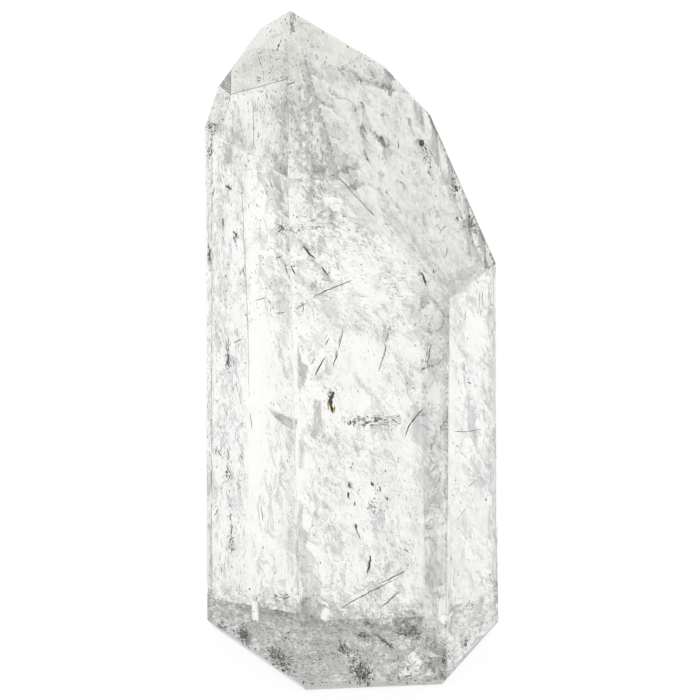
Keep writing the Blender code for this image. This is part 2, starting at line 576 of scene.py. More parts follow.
def join_films():
    """One mesh for each kind of film, with its UV map and its fade attribute."""
    whole = 0
    for kind, parts in films.items():
        shift = np.cumsum([0] + [len(p[0]) for p in parts])
        points = np.concatenate([p[0] for p in parts])
        quads = np.concatenate([p[1] + s for p, s in zip(parts, shift)])
        grains = np.concatenate([p[2] for p in parts])
        fade = np.concatenate([p[3] for p in parts])
        mesh = bpy.data.meshes.new(kind)
        mesh.from_pydata(points.tolist(), [], quads.tolist())
        mesh.update()
        uv = mesh.uv_layers.new(name="flow")
        uv.data.foreach_set("uv", grains[quads.ravel()].astype(np.float32).ravel())
        mesh.attributes.new("fade", "FLOAT", "POINT").data.foreach_set("value", fade.astype(np.float32))
        mesh.materials.append(film_finishes[kind])
        for polygon in mesh.polygons:
            polygon.use_smooth = True
        piece = bpy.data.objects.new(kind, mesh)
        bpy.context.scene.collection.objects.link(piece)
        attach(piece, "root")
        whole += 2 * len(quads)
        print(kind, "triangles:", 2 * len(quads))
    return whole


print("films wait for their outlines")

# %% [markdown]
# ## The minerals inside
# All of them are rough and matt at this size, so they scatter the light that reaches them. The
# tints are small: bright veils are films of gas and liquid, lavender ones lie deeper in a thin
# film, olive ones hold a trace of chlorite, and needles are black tourmaline. Each colour is
# varied over a few millimetres, since no crack has healed evenly.

# %% Materials of the veils and specks
MINERALS = {
    "veil_white": ("healed_crack_bright", "#FBFBFA", "#E9EAE8", 0.75),
    "veil_pale": ("healed_crack_pale", "#DCDDDA", "#C6C7C3", 0.75),
    "veil_lavender": ("healed_crack_thin_film", "#CFCDD8", "#B9B8C2", 0.70),
    "veil_olive": ("healed_crack_with_chlorite", "#B4B7A6", "#9A9E8C", 0.75),
    "veil_grey": ("healed_crack_dense", "#989A94", "#7C7F79", 0.70),
    "veil_dark": ("fluid_trails", "#55584F", "#3B3E39", 0.55),
    "haze_teal": ("chlorite_moss", "#7E968B", "#5F786E", 0.80),
    "needles_black": ("black_tourmaline", "#10110F", "#23241F", 0.25),
    "film_gold": ("gold_iron_film", "#FFEE86", "#FFDC40", 0.45),
}
finishes = {}
for mineral, (name, light, deep, roughness) in MINERALS.items():
    material, tree, shader = new_material(name, Roughness=roughness)
    place = add_node(tree, "ShaderNodeTexCoord")
    patchy = add_node(tree, "ShaderNodeTexNoise", {"Scale": 420.0, "Detail": 3.0, "Roughness": 0.6},
                      Vector=place.outputs["Object"])
    blend = add_node(tree, "ShaderNodeMix", {"data_type": "RGBA", 6: linear(light), 7: linear(deep)},
                     Factor=patchy.outputs["Fac"])
    tree.links.new(blend.outputs[2], shader.inputs["Base Color"])
    if mineral == "film_gold":
        shader.inputs["Metallic"].default_value = 1.0
    finishes[mineral] = material
print("minerals:", len(finishes))

# %% [markdown]
# A film shows by how much it covers. Its cover follows a noise on the film's own UV map, drawn
# out along the flow, and is cut off below a threshold, so that it breaks up into wisps. A second,
# broader noise moves its colour. Films that hold gas mirror the light as a thin layer of air does,
# for which a bright metal stands in, and the rest scatter it.

# %% Materials of the films
FILMS = {
    # kind: name, two colours, roughness, metallic, where the pattern begins and ends, most cover, habit
    "film_milky": ("healed_film_milky", "#FAFAF8", "#D2D2CF", 0.8, 0.0, 0.46, 0.72, 0.50, "PATCHY"),
    "film_patch": ("healed_film_even", "#F6F6F3", "#D9DAD5", 0.8, 0.0, 0.50, 0.56, 0.36, "PATCHY"),
    "film_crumb": ("healed_film_granular", "#DEDFDB", "#A9AAA4", 0.8, 0.0, 0.50, 0.62, 0.36, "PATCHY"),
    "film_lavender": ("healed_film_thin", "#E6E4F0", "#C3C1D2", 0.8, 0.0, 0.50, 0.57, 0.36, "PATCHY"),
    # The olive and grey films are a tint of the stone, and on the cap and just under it they are also painted
    # shade.
    "film_olive": ("chlorite_film_and_painted_shade", "#CBCDBB", "#A9AD94", 0.8, 0.0, 0.50, 0.58, 0.34, "WISPS"),
    "film_haze": ("healed_film_faint", "#F2F1F6", "#DCDBE4", 0.8, 0.0, 0.30, 0.62, 0.22, "WISPS"),
    "film_grey": ("dense_film_and_painted_shade", "#DFE0DA", "#C5C7C0", 0.8, 0.0, 0.10, 0.62, 0.45, "WISPS"),
    "film_shards": ("stepped_crack", "#E6E7E2", "#B4B6AE", 0.8, 0.0, 0.45, 1.00, 0.45, "SHARDS"),
    # The smoky film is smoky inclusions, and on the foot it is also painted shade.
    "film_dusk": ("smoky_film_and_painted_shade", "#A2A59C", "#6E7269", 0.8, 0.0, 0.50, 0.58, 0.50, "PATCHY"),
    "film_dark": ("fluid_film_dark", "#62655B", "#22241F", 0.7, 0.0, 0.54, 0.68, 0.80, "PATCHY"),
    "film_gas": ("gas_film_bright", "#FCFCFC", "#F6F6F4", 0.08, 1.0, 0.46, 0.54, 0.95, "PATCHY"),
    "film_fill": ("gas_film_closed", "#FCFCFC", "#F8F8F6", 0.08, 1.0, 0.30, 0.44, 0.92, "WISPS"),
    "film_glint": ("stepped_gas_crack", "#FCFCFC", "#F6F6F4", 0.08, 1.0, 0.60, 0.64, 0.90, "SHARDS"),
}
film_finishes = {}
for kind, (name, light, deep, roughness, metallic, begins, ends, cover, habit) in FILMS.items():
    material, tree, shader = new_material(name, Roughness=roughness, Metallic=metallic)
    flow = add_node(tree, "ShaderNodeUVMap", {"uv_map": "flow"})
    wisps = add_node(tree, "ShaderNodeTexNoise", {"noise_dimensions": "2D", "Scale": 1.0, "Detail": 4.0, "Roughness": 0.70,
                                                  "Distortion": 0.5}, Vector=flow.outputs["UV"])
    pattern = wisps.outputs["Fac"]
    if habit == "SHARDS":
        bent_flow = add_node(tree, "ShaderNodeVectorMath", {"operation": "MULTIPLY_ADD", 1: (0.9, 0.9, 0.0)},
                             n0=wisps.outputs["Color"], n2=flow.outputs["UV"])
        cells = add_node(tree, "ShaderNodeTexVoronoi", {"voronoi_dimensions": "2D", "Scale": 1.0}, Vector=bent_flow.outputs["Vector"])
        pattern = add_node(tree, "ShaderNodeSeparateColor", Color=cells.outputs["Color"]).outputs["Red"]
    cut = add_node(tree, "ShaderNodeMapRange", {"From Min": begins, "From Max": ends, "To Min": 0.0,
                                                "To Max": cover}, Value=pattern)
    fade = add_node(tree, "ShaderNodeAttribute", {"attribute_name": "fade"})
    shown = add_node(tree, "ShaderNodeMath", {"operation": "MULTIPLY"}, n0=cut.outputs["Result"],
                     n1=fade.outputs["Fac"])
    if habit == "PATCHY":
        thick = add_node(tree, "ShaderNodeTexNoise", {"noise_dimensions": "2D", "Scale": 0.22, "Detail": 1.0, "Roughness": 0.5},
                         Vector=flow.outputs["UV"])
        patch = add_node(tree, "ShaderNodeMapRange", {"From Min": 0.44, "From Max": 0.56, "To Min": 0.05},
                         Value=thick.outputs["Fac"])
        shown = add_node(tree, "ShaderNodeMath", {"operation": "MULTIPLY"}, n0=shown.outputs["Value"],
                         n1=patch.outputs["Result"])
    tree.links.new(shown.outputs["Value"], shader.inputs["Alpha"])
    broad = add_node(tree, "ShaderNodeTexNoise", {"noise_dimensions": "2D", "Scale": 0.45, "Detail": 1.0, "Roughness": 0.55},
                     Vector=flow.outputs["UV"])
    tint = add_node(tree, "ShaderNodeMapRange", {"From Min": 0.38, "From Max": 0.62},
                    Value=broad.outputs["Fac"])
    blend = add_node(tree, "ShaderNodeMix", {"data_type": "RGBA", 6: linear(light), 7: linear(deep)},
                     Factor=tint.outputs["Result"])
    tree.links.new(blend.outputs[2], shader.inputs["Base Color"])
    film_finishes[kind] = material
print("kinds of film:", len(film_finishes))

# %% [markdown]
# ## Joining what was laid
# The copies of each mineral become one mesh, or several where it would pass the size of a piece.

# %% Join the flakes into pieces
MOST_TRIANGLES = 180000


def join_minerals():
    """One mesh object, or a few, for each mineral; returns the number of triangles in all."""
    whole = 0
    for mineral, batches in gathered.items():
        points, faces, base, part, size = [], [], 0, 1, 0
        chunks = []
        for copies, pattern in batches:
            if not len(copies):
                continue
            n = copies.shape[1]
            starts = np.arange(len(copies)) * n
            chunks.append((copies.reshape(-1, 3), (pattern[None] + starts[:, None, None]).reshape(-1, 3)))
        groups = [[]]
        for chunk in chunks:
            if sum(len(f) for _, f in groups[-1]) + len(chunk[1]) > MOST_TRIANGLES and groups[-1]:
                groups.append([])
            groups[-1].append(chunk)
        for number, group in enumerate(groups):
            if not group:
                continue
            shift = np.cumsum([0] + [len(p) for p, _ in group])
            points = np.concatenate([p for p, _ in group])
            faces = np.concatenate([f + s for (_, f), s in zip(group, shift)])
            name = mineral if len(groups) == 1 else mineral + "_" + str(number + 1)
            mesh = bpy.data.meshes.new(name)
            mesh.from_pydata(points.tolist(), [], faces.tolist())
            mesh.update()
            mesh.materials.append(finishes[mineral])
            piece = bpy.data.objects.new(name, mesh)
            bpy.context.scene.collection.objects.link(piece)
            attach(piece, "root")
            whole += len(faces)
            print(name, "triangles:", len(faces))
    return whole

# %% Lay the films
TOP = [(291, 14), (240, 64), (232, 76), (232, 96), (262, 94), (300, 92), (400, 94), (384, 66), (340, 38)]
CAP_LEFT = [(240, 62), (232, 74), (231, 94), (222, 104), (218, 122), (205, 124), (216, 94)]
CAP_EDGE = [(250, 92), (296, 84), (400, 86), (416, 106), (400, 132), (300, 124), (250, 112)]
LEFT_TIP = [(220, 98), (293, 92), (290, 178), (207, 130)]
MIDDLE_TIP = [(293, 80), (308, 78), (341, 178), (290, 178)]
RIDGE = [(303, 58), (320, 62), (352, 128), (390, 224), (370, 224), (336, 180)]
SHOULDER = [(304, 62), (384, 66), (427, 114), (490, 262), (452, 296), (341, 180)]
SHOULDER_RIM = [(400, 82), (432, 112), (499, 264), (484, 272), (440, 170)]
LEFT_UP = [(206, 132), (250, 155), (252, 368), (206, 344)]
CORNER_UP = [(250, 150), (292, 178), (296, 330), (252, 312)]
FRONT_UP = [(291, 178), (341, 178), (448, 292), (444, 356), (296, 326)]
LEFT_LOW = [(206, 300), (250, 330), (250, 620), (208, 600)]
CORNER_LOW = [(248, 400), (296, 400), (298, 618), (250, 618)]
FRONT_MIDDLE = [(294, 290), (422, 312), (422, 500), (296, 452)]
FRONT_LOW = [(306, 424), (422, 462), (422, 632), (330, 628), (322, 560), (306, 500)]
BAND = [(416, 262), (449, 298), (449, 640), (420, 640)]
RIGHT_SIDE = [(450, 298), (496, 264), (498, 590), (450, 612)]
RIGHT_EDGE = [(487, 270), (498, 262), (499, 592), (488, 594)]
LEFT_EDGE = [(203, 122), (215, 128), (214, 600), (204, 596)]
FOOT_LEFT = [(207, 586), (240, 596), (270, 592), (299, 604), (303, 683), (209, 619)]
FOOT_FRONT = [(298, 600), (330, 616), (372, 606), (410, 600), (449, 590), (447, 680), (303, 683)]
FOOT_LINE = [(208, 578), (300, 596), (372, 600), (440, 592), (440, 640), (300, 642), (208, 618)]
FOOT_RIGHT = [(446, 600), (499, 583), (499, 620), (446, 684)]
FILM_PLACES = [
    # kind, outline, way of the flow, depth, grain in pixels, other settings
    # The olive and grey films on the cap are partly a tint of the stone and partly painted shade: they deepen the
    # grey of the room that is seen through the cap.
    ("film_patch", TOP, 60, 0.3, (14, 6), {"strength": 0.3}),
    ("film_olive", TOP, 60, 0.2, (20, 9), {"strength": 0.4, "soft": 3.0, "swirl": 12.0}),
    ("film_grey", TOP, 60, 0.15, (40, 20), {"strength": 0.16, "soft": 1.5}),
    ("film_grey", CAP_LEFT, 110, 0.12, (30, 12), {"strength": 0.2, "soft": 1.2, "step": 1.5}),
    ("film_patch", CAP_EDGE, 70, 0.2, (20, 9), {"soft": 8.0, "swirl": 12.0, "strength": 0.7}),
    ("film_gas", CAP_EDGE, 75, 0.10, (12, 3), {"facing": (50.0, 72.0), "soft": 8.0, "strength": 0.9}),
    ("film_milky", LEFT_TIP, 88, 0.2, (34, 4), {}),
    ("film_lavender", LEFT_TIP, 88, 0.35, (24, 8), {"strength": 0.8}),
    ("film_crumb", LEFT_TIP, 88, 0.25, (16, 3), {"strength": 0.3}),
    # Painted shade as well as tint: these olive and grey films carry the grey of the cap, which is the room seen
    # through it, irregularly below its edge.
    ("film_olive", [(252, 92), (330, 82), (345, 178), (300, 182), (264, 140)], 80, 0.22, (18, 8),
     {"strength": 0.4, "soft": 12.0, "swirl": 14.0}),
    ("film_grey", [(256, 90), (330, 82), (345, 178), (300, 182), (272, 130)], 80, 0.12, (20, 10),
     {"strength": 0.10, "soft": 14.0, "swirl": 14.0}),
    ("film_olive", MIDDLE_TIP, 76, 0.25, (20, 8), {"swirl": 12.0, "strength": 0.7}),
    ("film_lavender", MIDDLE_TIP, 76, 0.2, (12, 6), {"swirl": 9.0}),
    ("film_fill", RIDGE, 66, 0.06, (14, 5), {"facing": (50.0, 72.0), "soft": 3.0, "step": 2.0}),
    ("film_fill", RIDGE, 66, 0.11, (20, 6), {"facing": (50.0, 72.0), "soft": 3.0, "step": 2.0}),
    ("film_crumb", RIDGE, 66, 0.05, (9, 3), {"soft": 3.0, "strength": 0.7, "swirl": 9.0}),
    ("film_lavender", SHOULDER, 66, 0.30, (14, 6), {"swirl": 9.0, "strength": 0.3}),
    ("film_olive", SHOULDER, 63, 0.42, (26, 10), {"swirl": 14.0, "strength": 0.25}),
    ("film_crumb", SHOULDER, 63, 0.26, (10, 3), {"swirl": 9.0, "strength": 0.2}),
    ("film_fill", SHOULDER, 66, 0.09, (30, 9), {"facing": (50.0, 72.0), "swirl": 12.0, "strength": 0.55,
                                               "step": 2.0}),
    ("film_gas", SHOULDER, 63, 0.07, (14, 4), {"facing": (50.0, 72.0), "swirl": 9.0, "strength": 0.6}),
    ("film_crumb", SHOULDER, 63, 0.05, (8, 3), {"swirl": 10.0, "strength": 0.3}),
    ("film_lavender", SHOULDER, 66, 0.05, (12, 5), {"swirl": 10.0, "strength": 0.4}),
    ("film_glint", SHOULDER, 63, 0.14, (12, 5), {"facing": (80.0, 75.0)}),
    ("film_fill", SHOULDER_RIM, 63, 0.04, (9, 4), {"facing": (80.0, 75.0), "soft": 2.0, "step": 1.5}),
    ("film_fill", SHOULDER_RIM, 63, 0.10, (16, 6), {"facing": (80.0, 75.0), "soft": 2.0, "step": 1.5}),
    ("film_milky", LEFT_UP, 89, 0.20, (40, 4), {}),
    ("film_crumb", LEFT_UP, 89, 0.30, (16, 3), {"strength": 0.8}),
    ("film_lavender", LEFT_UP, 85, 0.35, (22, 7), {"swirl": 9.0}),
    ("film_olive", LEFT_UP, 80, 0.45, (34, 12), {"swirl": 10.0, "strength": 0.7}),
    ("film_crumb", LEFT_EDGE, 89, 0.3, (12, 3), {"soft": 2.0, "step": 2.0, "strength": 1.2}),
    ("film_olive", LEFT_EDGE, 89, 0.35, (30, 6), {"soft": 2.0, "step": 2.0}),
    ("film_patch", CORNER_UP, 84, 0.3, (20, 8), {}),
    ("film_olive", CORNER_UP, 60, 0.4, (30, 14), {"swirl": 14.0, "strength": 0.8}),
    ("film_lavender", FRONT_UP, 20, 0.4, (34, 14), {"swirl": 16.0, "strength": 0.8}),
    ("film_patch", FRONT_UP, 40, 0.3, (14, 6), {"swirl": 12.0, "strength": 0.8}),
    ("film_crumb", FRONT_UP, 30, 0.2, (10, 3), {"swirl": 10.0, "strength": 0.5}),
    ("film_olive", [(298, 182), (338, 182), (346, 290), (300, 292)], 60, 0.3, (24, 12), {"strength": 1.3}),
    ("film_gas", FRONT_UP, 40, 0.12, (12, 3), {"facing": (10.0, 90.0), "swirl": 9.0}),
    ("film_lavender", LEFT_LOW, 85, 0.3, (34, 9), {"swirl": 9.0}),
    ("film_crumb", LEFT_LOW, 88, 0.25, (16, 3), {"strength": 0.8}),
    ("film_patch", LEFT_LOW, 84, 0.5, (14, 6), {"swirl": 9.0}),
    ("film_patch", CORNER_LOW, 80, 0.4, (24, 8), {"swirl": 9.0}),
    ("film_patch", FRONT_MIDDLE, 62, 0.3, (24, 9), {"swirl": 14.0}),
    ("film_crumb", FRONT_MIDDLE, 60, 0.25, (9, 3), {"swirl": 10.0, "strength": 0.6}),
    ("film_lavender", FRONT_LOW, 76, 0.35, (30, 12), {"swirl": 14.0}),
    ("film_patch", FRONT_LOW, 66, 0.3, (12, 5), {"swirl": 12.0, "strength": 0.8}),
    ("film_crumb", FRONT_LOW, 70, 0.25, (9, 3), {"swirl": 10.0, "strength": 0.7}),
    ("film_fill", BAND, 84, 0.07, (30, 9), {"soft": 3.0, "facing": (10.0, 90.0), "strength": 0.45,
                                           "swirl": 12.0, "step": 1.5}),
    ("film_olive", [(416, 262), (449, 298), (449, 600), (424, 600)], 70, 0.04, (20, 7),
     {"soft": 3.0, "swirl": 14.0, "strength": 0.5}),
    ("film_grey", [(416, 262), (449, 298), (449, 600), (424, 600)], 84, 0.03, (40, 12),
     {"soft": 2.0, "strength": 0.12}),
    ("film_gas", [(424, 520), (449, 496), (449, 640), (424, 640)], 80, 0.05, (10, 4),
     {"soft": 2.0, "facing": (20.0, 90.0), "swirl": 10.0, "step": 1.0, "strength": 0.9}),
    ("film_fill", [(422, 540), (449, 518), (449, 622), (422, 620)], 84, 0.04, (20, 8),
     {"soft": 4.0, "facing": (20.0, 90.0), "swirl": 10.0, "step": 1.0, "strength": 0.8}),
    ("film_lavender", [(341, 184), (449, 302), (436, 336), (392, 316), (322, 226)], 48, 0.18, (16, 6),
     {"soft": 12.0, "swirl": 12.0}),
    ("film_olive", [(341, 184), (449, 302), (436, 330), (400, 310), (330, 226)], 48, 0.25, (22, 9),
     {"soft": 12.0, "swirl": 12.0, "strength": 0.6}),
    # Painted shade: this grey film continues the grey of the cap below its edge.
    ("film_grey", [(262, 88), (304, 82), (326, 130), (300, 150), (268, 122)], 80, 0.14, (30, 14),
     {"soft": 10.0, "swirl": 12.0, "strength": 0.35}),
    ("film_patch", RIGHT_SIDE, 66, 0.3, (20, 7), {"swirl": 12.0}),
    ("film_lavender", RIGHT_SIDE, 80, 0.5, (40, 10), {"swirl": 9.0, "strength": 1.2}),
    ("film_crumb", RIGHT_SIDE, 66, 0.25, (10, 3), {"swirl": 9.0, "strength": 0.5}),
    ("film_olive", RIGHT_EDGE, 90, 0.35, (30, 6), {"soft": 1.5, "step": 1.5, "strength": 1.2}),
    ("film_grey", RIGHT_EDGE, 90, 0.4, (40, 10), {"soft": 1.5, "strength": 0.7, "step": 1.5}),
    ("film_gas", FOOT_LEFT, 30, 0.12, (6, 3), {"facing": (320.0, 90.0), "swirl": 10.0, "soft": 2.0,
                                              "strength": 0.6, "step": 1.5}),
    # The smoky films on the foot are partly smoky inclusions and partly painted shade that darkens the grey of the
    # room seen through the foot.
    ("film_dusk", FOOT_LEFT, 40, 0.3, (7, 4), {"swirl": 10.0, "soft": 2.0, "strength": 0.35}),
    ("film_dark", FOOT_LEFT, 40, 0.3, (9, 5), {"swirl": 12.0, "strength": 0.6}),
    ("film_crumb", FOOT_LEFT, 40, 0.2, (4, 2.5), {"swirl": 10.0, "strength": 1.2, "step": 2.0}),
    ("film_olive", FOOT_LEFT, 110, 0.1, (4, 3), {"swirl": 6.0, "soft": 2.0, "step": 2.0, "strength": 0.8}),
    ("film_gas", FOOT_FRONT, 20, 0.12, (6, 3), {"facing": (0.0, 90.0), "swirl": 10.0, "soft": 2.0,
                                               "strength": 0.6, "step": 1.5}),
    # Smoky film on the front of the foot: partly painted shade.
    ("film_dusk", FOOT_FRONT, 20, 0.3, (7, 4), {"swirl": 10.0, "soft": 2.0, "strength": 0.35}),
    ("film_dark", FOOT_FRONT, 10, 0.35, (9, 5), {"swirl": 12.0, "strength": 0.5}),
    ("film_crumb", FOOT_FRONT, 30, 0.2, (4, 2.5), {"swirl": 10.0, "strength": 1.1, "step": 2.0}),
    ("film_olive", FOOT_FRONT, 110, 0.1, (4, 3), {"swirl": 6.0, "soft": 2.0, "step": 2.0, "strength": 0.7}),
    ("film_gas", [(412, 640), (446, 624), (447, 680), (390, 682)], 150, 0.08, (7, 4),
     {"facing": (0.0, 90.0), "soft": 6.0, "swirl": 10.0, "step": 1.0}),
    ("film_fill", [(426, 638), (446, 622), (447, 680), (408, 682)], 150, 0.05, (20, 8),
     {"facing": (0.0, 90.0), "soft": 12.0, "swirl": 10.0, "step": 1.0, "strength": 0.6}),
    ("film_gas", FOOT_RIGHT, 140, 0.12, (10, 5), {"facing": (60.0, 80.0), "swirl": 12.0, "soft": 2.0}),
    ("film_gas", FOOT_RIGHT, 120, 0.16, (9, 5), {"facing": (60.0, 80.0), "swirl": 12.0, "soft": 2.0, "step": 1.5}),
    ("film_gas", FOOT_RIGHT, 130, 0.07, (7, 3), {"facing": (60.0, 80.0), "swirl": 12.0, "soft": 2.0, "step": 1.5}),
    ("film_crumb", FOOT_RIGHT, 140, 0.2, (8, 4), {"soft": 2.0, "strength": 0.6}),
    ("film_crumb", FOOT_LINE, 10, 0.1, (6, 3), {"swirl": 12.0, "strength": 0.7}),
    ("film_patch", FOOT_LINE, 30, 0.06, (9, 4), {"swirl": 12.0, "strength": 1.2}),
    # Smoky film along the foot line: partly painted shade.
    ("film_dusk", FOOT_LINE, 20, 0.12, (7, 4), {"swirl": 12.0, "strength": 0.5, "soft": 12.0}),
    ("film_haze", [(216, 110), (250, 110), (250, 600), (212, 592), (210, 300)], 80, 0.6, (40, 16),
     {"soft": 22.0, "step": 5.0, "swirl": 14.0, "strength": 0.5}),
    ("film_haze", [(300, 240), (400, 290), (416, 600), (304, 612)], 60, 0.6, (40, 16),
     {"soft": 45.0, "step": 5.0, "swirl": 14.0, "strength": 0.45}),
    ("film_haze", RIGHT_SIDE, 60, 0.6, (40, 16), {"soft": 6.0, "step": 5.0, "swirl": 14.0, "strength": 0.7}),
    ("film_gas", LEFT_UP, 88, 0.10, (9, 3), {"facing": (330.0, 90.0), "swirl": 9.0}),
    ("film_gas", LEFT_LOW, 85, 0.10, (9, 3), {"facing": (330.0, 90.0), "swirl": 9.0}),
    ("film_gas", FRONT_MIDDLE, 60, 0.10, (9, 3), {"facing": (10.0, 90.0), "swirl": 12.0}),
    ("film_gas", FRONT_LOW, 66, 0.10, (9, 3), {"facing": (10.0, 90.0), "swirl": 12.0}),
    ("film_gas", RIGHT_SIDE, 66, 0.10, (9, 3), {"facing": (50.0, 90.0), "swirl": 9.0}),
    ("film_dusk", [(343, 420), (358, 411), (386, 409), (408, 418), (392, 431), (360, 429)], 172, 0.06, (9, 3),
     {"soft": 3.0, "step": 2.0, "swirl": 8.0}),
    ("film_grey", [(267, 407), (280, 413), (293, 418), (294, 431), (283, 425), (272, 415)], 30, 0.03, (20, 6),
     {"soft": 0.8, "strength": 1.8, "step": 1.5}),
    ("film_grey", [(297, 333), (299, 345), (302, 362), (309, 366), (306, 380), (300, 393), (297, 385)], 80, 0.02,
     (20, 6), {"soft": 0.8, "strength": 1.4, "step": 1.5}),
    ("film_grey", [(298, 498), (303, 502), (303, 526), (309, 534), (306, 546), (316, 558), (314, 574),
                   (323, 582), (321, 596), (330, 604), (322, 612), (318, 630), (306, 636), (300, 620),
                   (302, 590), (298, 560)], 80, 0.02, (30, 12), {"soft": 0.8, "strength": 1.0, "step": 1.0}),
    ("film_gas", [(318, 536), (332, 530), (332, 572), (322, 578)], 88, 0.03, (12, 5),
     {"facing": (10.0, 90.0), "soft": 2.0, "step": 2.0}),
    ("film_grey", [(313, 398), (322, 400), (322, 425), (316, 442), (310, 436), (313, 415)], 100, 0.06, (20, 6),
     {"soft": 1.5, "strength": 1.3, "step": 1.5}),
    ("film_grey", [(298, 438), (306, 442), (304, 468), (298, 470)], 100, 0.02, (20, 6), {"soft": 1.5, "step": 1.5}),
    ("film_grey", [(223, 143), (232, 142), (233, 166), (225, 164)], 88, 0.04, (20, 6), {"soft": 1.0, "step": 1.0}),
    ("film_fill", [(268, 38), (272, 34), (281, 30), (281, 34), (274, 38)], 150, 0.03, (20, 6),
     {"facing": (200.0, 10.0), "soft": 0.6, "step": 0.8}),
    ("film_fill", [(309, 43), (312, 43), (322, 64), (319, 66)], 65, 0.03, (20, 6),
     {"facing": (200.0, 10.0), "soft": 0.6, "step": 0.8}),
    ("film_fill", [(251, 600), (258, 602), (259, 622), (252, 620)], 88, 0.03, (20, 6),
     {"facing": (320.0, 90.0), "soft": 0.8, "step": 1.0}),
    ("film_fill", [(321, 600), (329, 603), (327, 623), (320, 618)], 88, 0.03, (20, 6),
     {"facing": (0.0, 90.0), "soft": 0.8, "step": 1.0}),
    ("film_fill", [(436, 597), (446, 600), (447, 627), (440, 622)], 88, 0.03, (20, 6),
     {"facing": (0.0, 90.0), "soft": 0.8, "step": 1.0}),
    ("film_fill", [(479, 632), (487, 612), (493, 608), (488, 632)], 110, 0.03, (20, 6),
     {"facing": (60.0, 80.0), "soft": 0.8, "step": 1.0}),
]
squares = [lay_film(kind, outline, heading, depth, grain, **more)
           for kind, outline, heading, depth, grain, more in FILM_PLACES]
print("film squares:", sum(squares), "in", len(squares), "films")

# %% [markdown]
# ## The clouds, face by face
# The stone is cloudier than it looks at first. Its left side and right shoulder are full of
# streaks that run down the prism, the middle of the front is the clearest part, and a dense
# cloud sits on the foot, where the crystal once grew from the rock. Each outline below is in
# pixels of the picture, followed by the way that the streaks run.

# %% Lay the clouds
SOFT = [("veil_white", 0.34), (None, 0.30), ("veil_pale", 0.22), (None, 0.08), ("veil_grey", 0.06)]
STREAKY = [("veil_white", 0.30), (None, 0.20), ("veil_pale", 0.24), ("veil_lavender", 0.08),
           (None, 0.08), ("veil_grey", 0.07), ("veil_dark", 0.02)]
MURKY = [("veil_white", 0.20), (None, 0.14), ("veil_pale", 0.16), ("veil_olive", 0.18),
         ("veil_grey", 0.20), ("veil_dark", 0.12)]
CLOUDS = [
    # outline, way of the streaks, count, minerals, depth from and to
    ([(291, 12), (240, 62), (219, 90), (222, 104), (262, 95), (330, 100), (400, 92), (385, 66), (340, 36)],
     70, 315, SOFT, (0.10, 0.60)),
    ([(220, 98), (293, 92), (290, 178), (207, 130)], 88, 405, STREAKY, (0.08, 0.55)),
    ([(293, 90), (308, 88), (341, 178), (290, 178)], 76, 405, STREAKY, (0.05, 0.40)),
    ([(304, 62), (384, 66), (427, 120), (490, 260), (452, 296), (341, 180)], 63, 1000, STREAKY,
     (0.06, 0.60)),
    ([(206, 132), (250, 155), (252, 330), (206, 330)], 89, 675, STREAKY, (0.06, 0.50)),
    ([(250, 155), (291, 180), (296, 300), (252, 320)], 84, 360, SOFT, (0.08, 0.55)),
    ([(291, 182), (341, 182), (440, 270), (440, 300), (296, 300)], 20, 990, STREAKY, (0.05, 0.60)),
    ([(206, 330), (246, 330), (248, 620), (208, 600)], 88, 900, STREAKY, (0.06, 0.50)),
    ([(248, 320), (293, 310), (298, 620), (250, 620)], 86, 270, SOFT, (0.10, 0.60)),
    ([(296, 300), (420, 300), (420, 460), (296, 460)], 68, 540, SOFT, (0.06, 0.70)),
    ([(296, 460), (420, 460), (420, 625), (298, 622)], 70, 990, STREAKY, (0.06, 0.70)),
    ([(418, 275), (449, 300), (449, 610), (418, 615)], 80, 200, SOFT, (0.05, 0.50)),
    ([(452, 298), (496, 264), (497, 590), (450, 612)], 66, 540, SOFT, (0.05, 0.60)),
    ([(208, 596), (298, 612), (303, 686), (210, 618)], 30, 900, MURKY, (0.05, 0.60)),
    ([(300, 620), (446, 618), (446, 682), (304, 686)], 12, 1125, MURKY, (0.05, 0.60)),
    ([(448, 606), (498, 585), (498, 618), (447, 680)], 140, 450, MURKY, (0.05, 0.60)),
]
laid = [lay_cloud(outline, heading, count, minerals, depth)
        for outline, heading, count, minerals, depth in CLOUDS]
print("flakes laid:", sum(laid), "in", len(laid), "clouds")

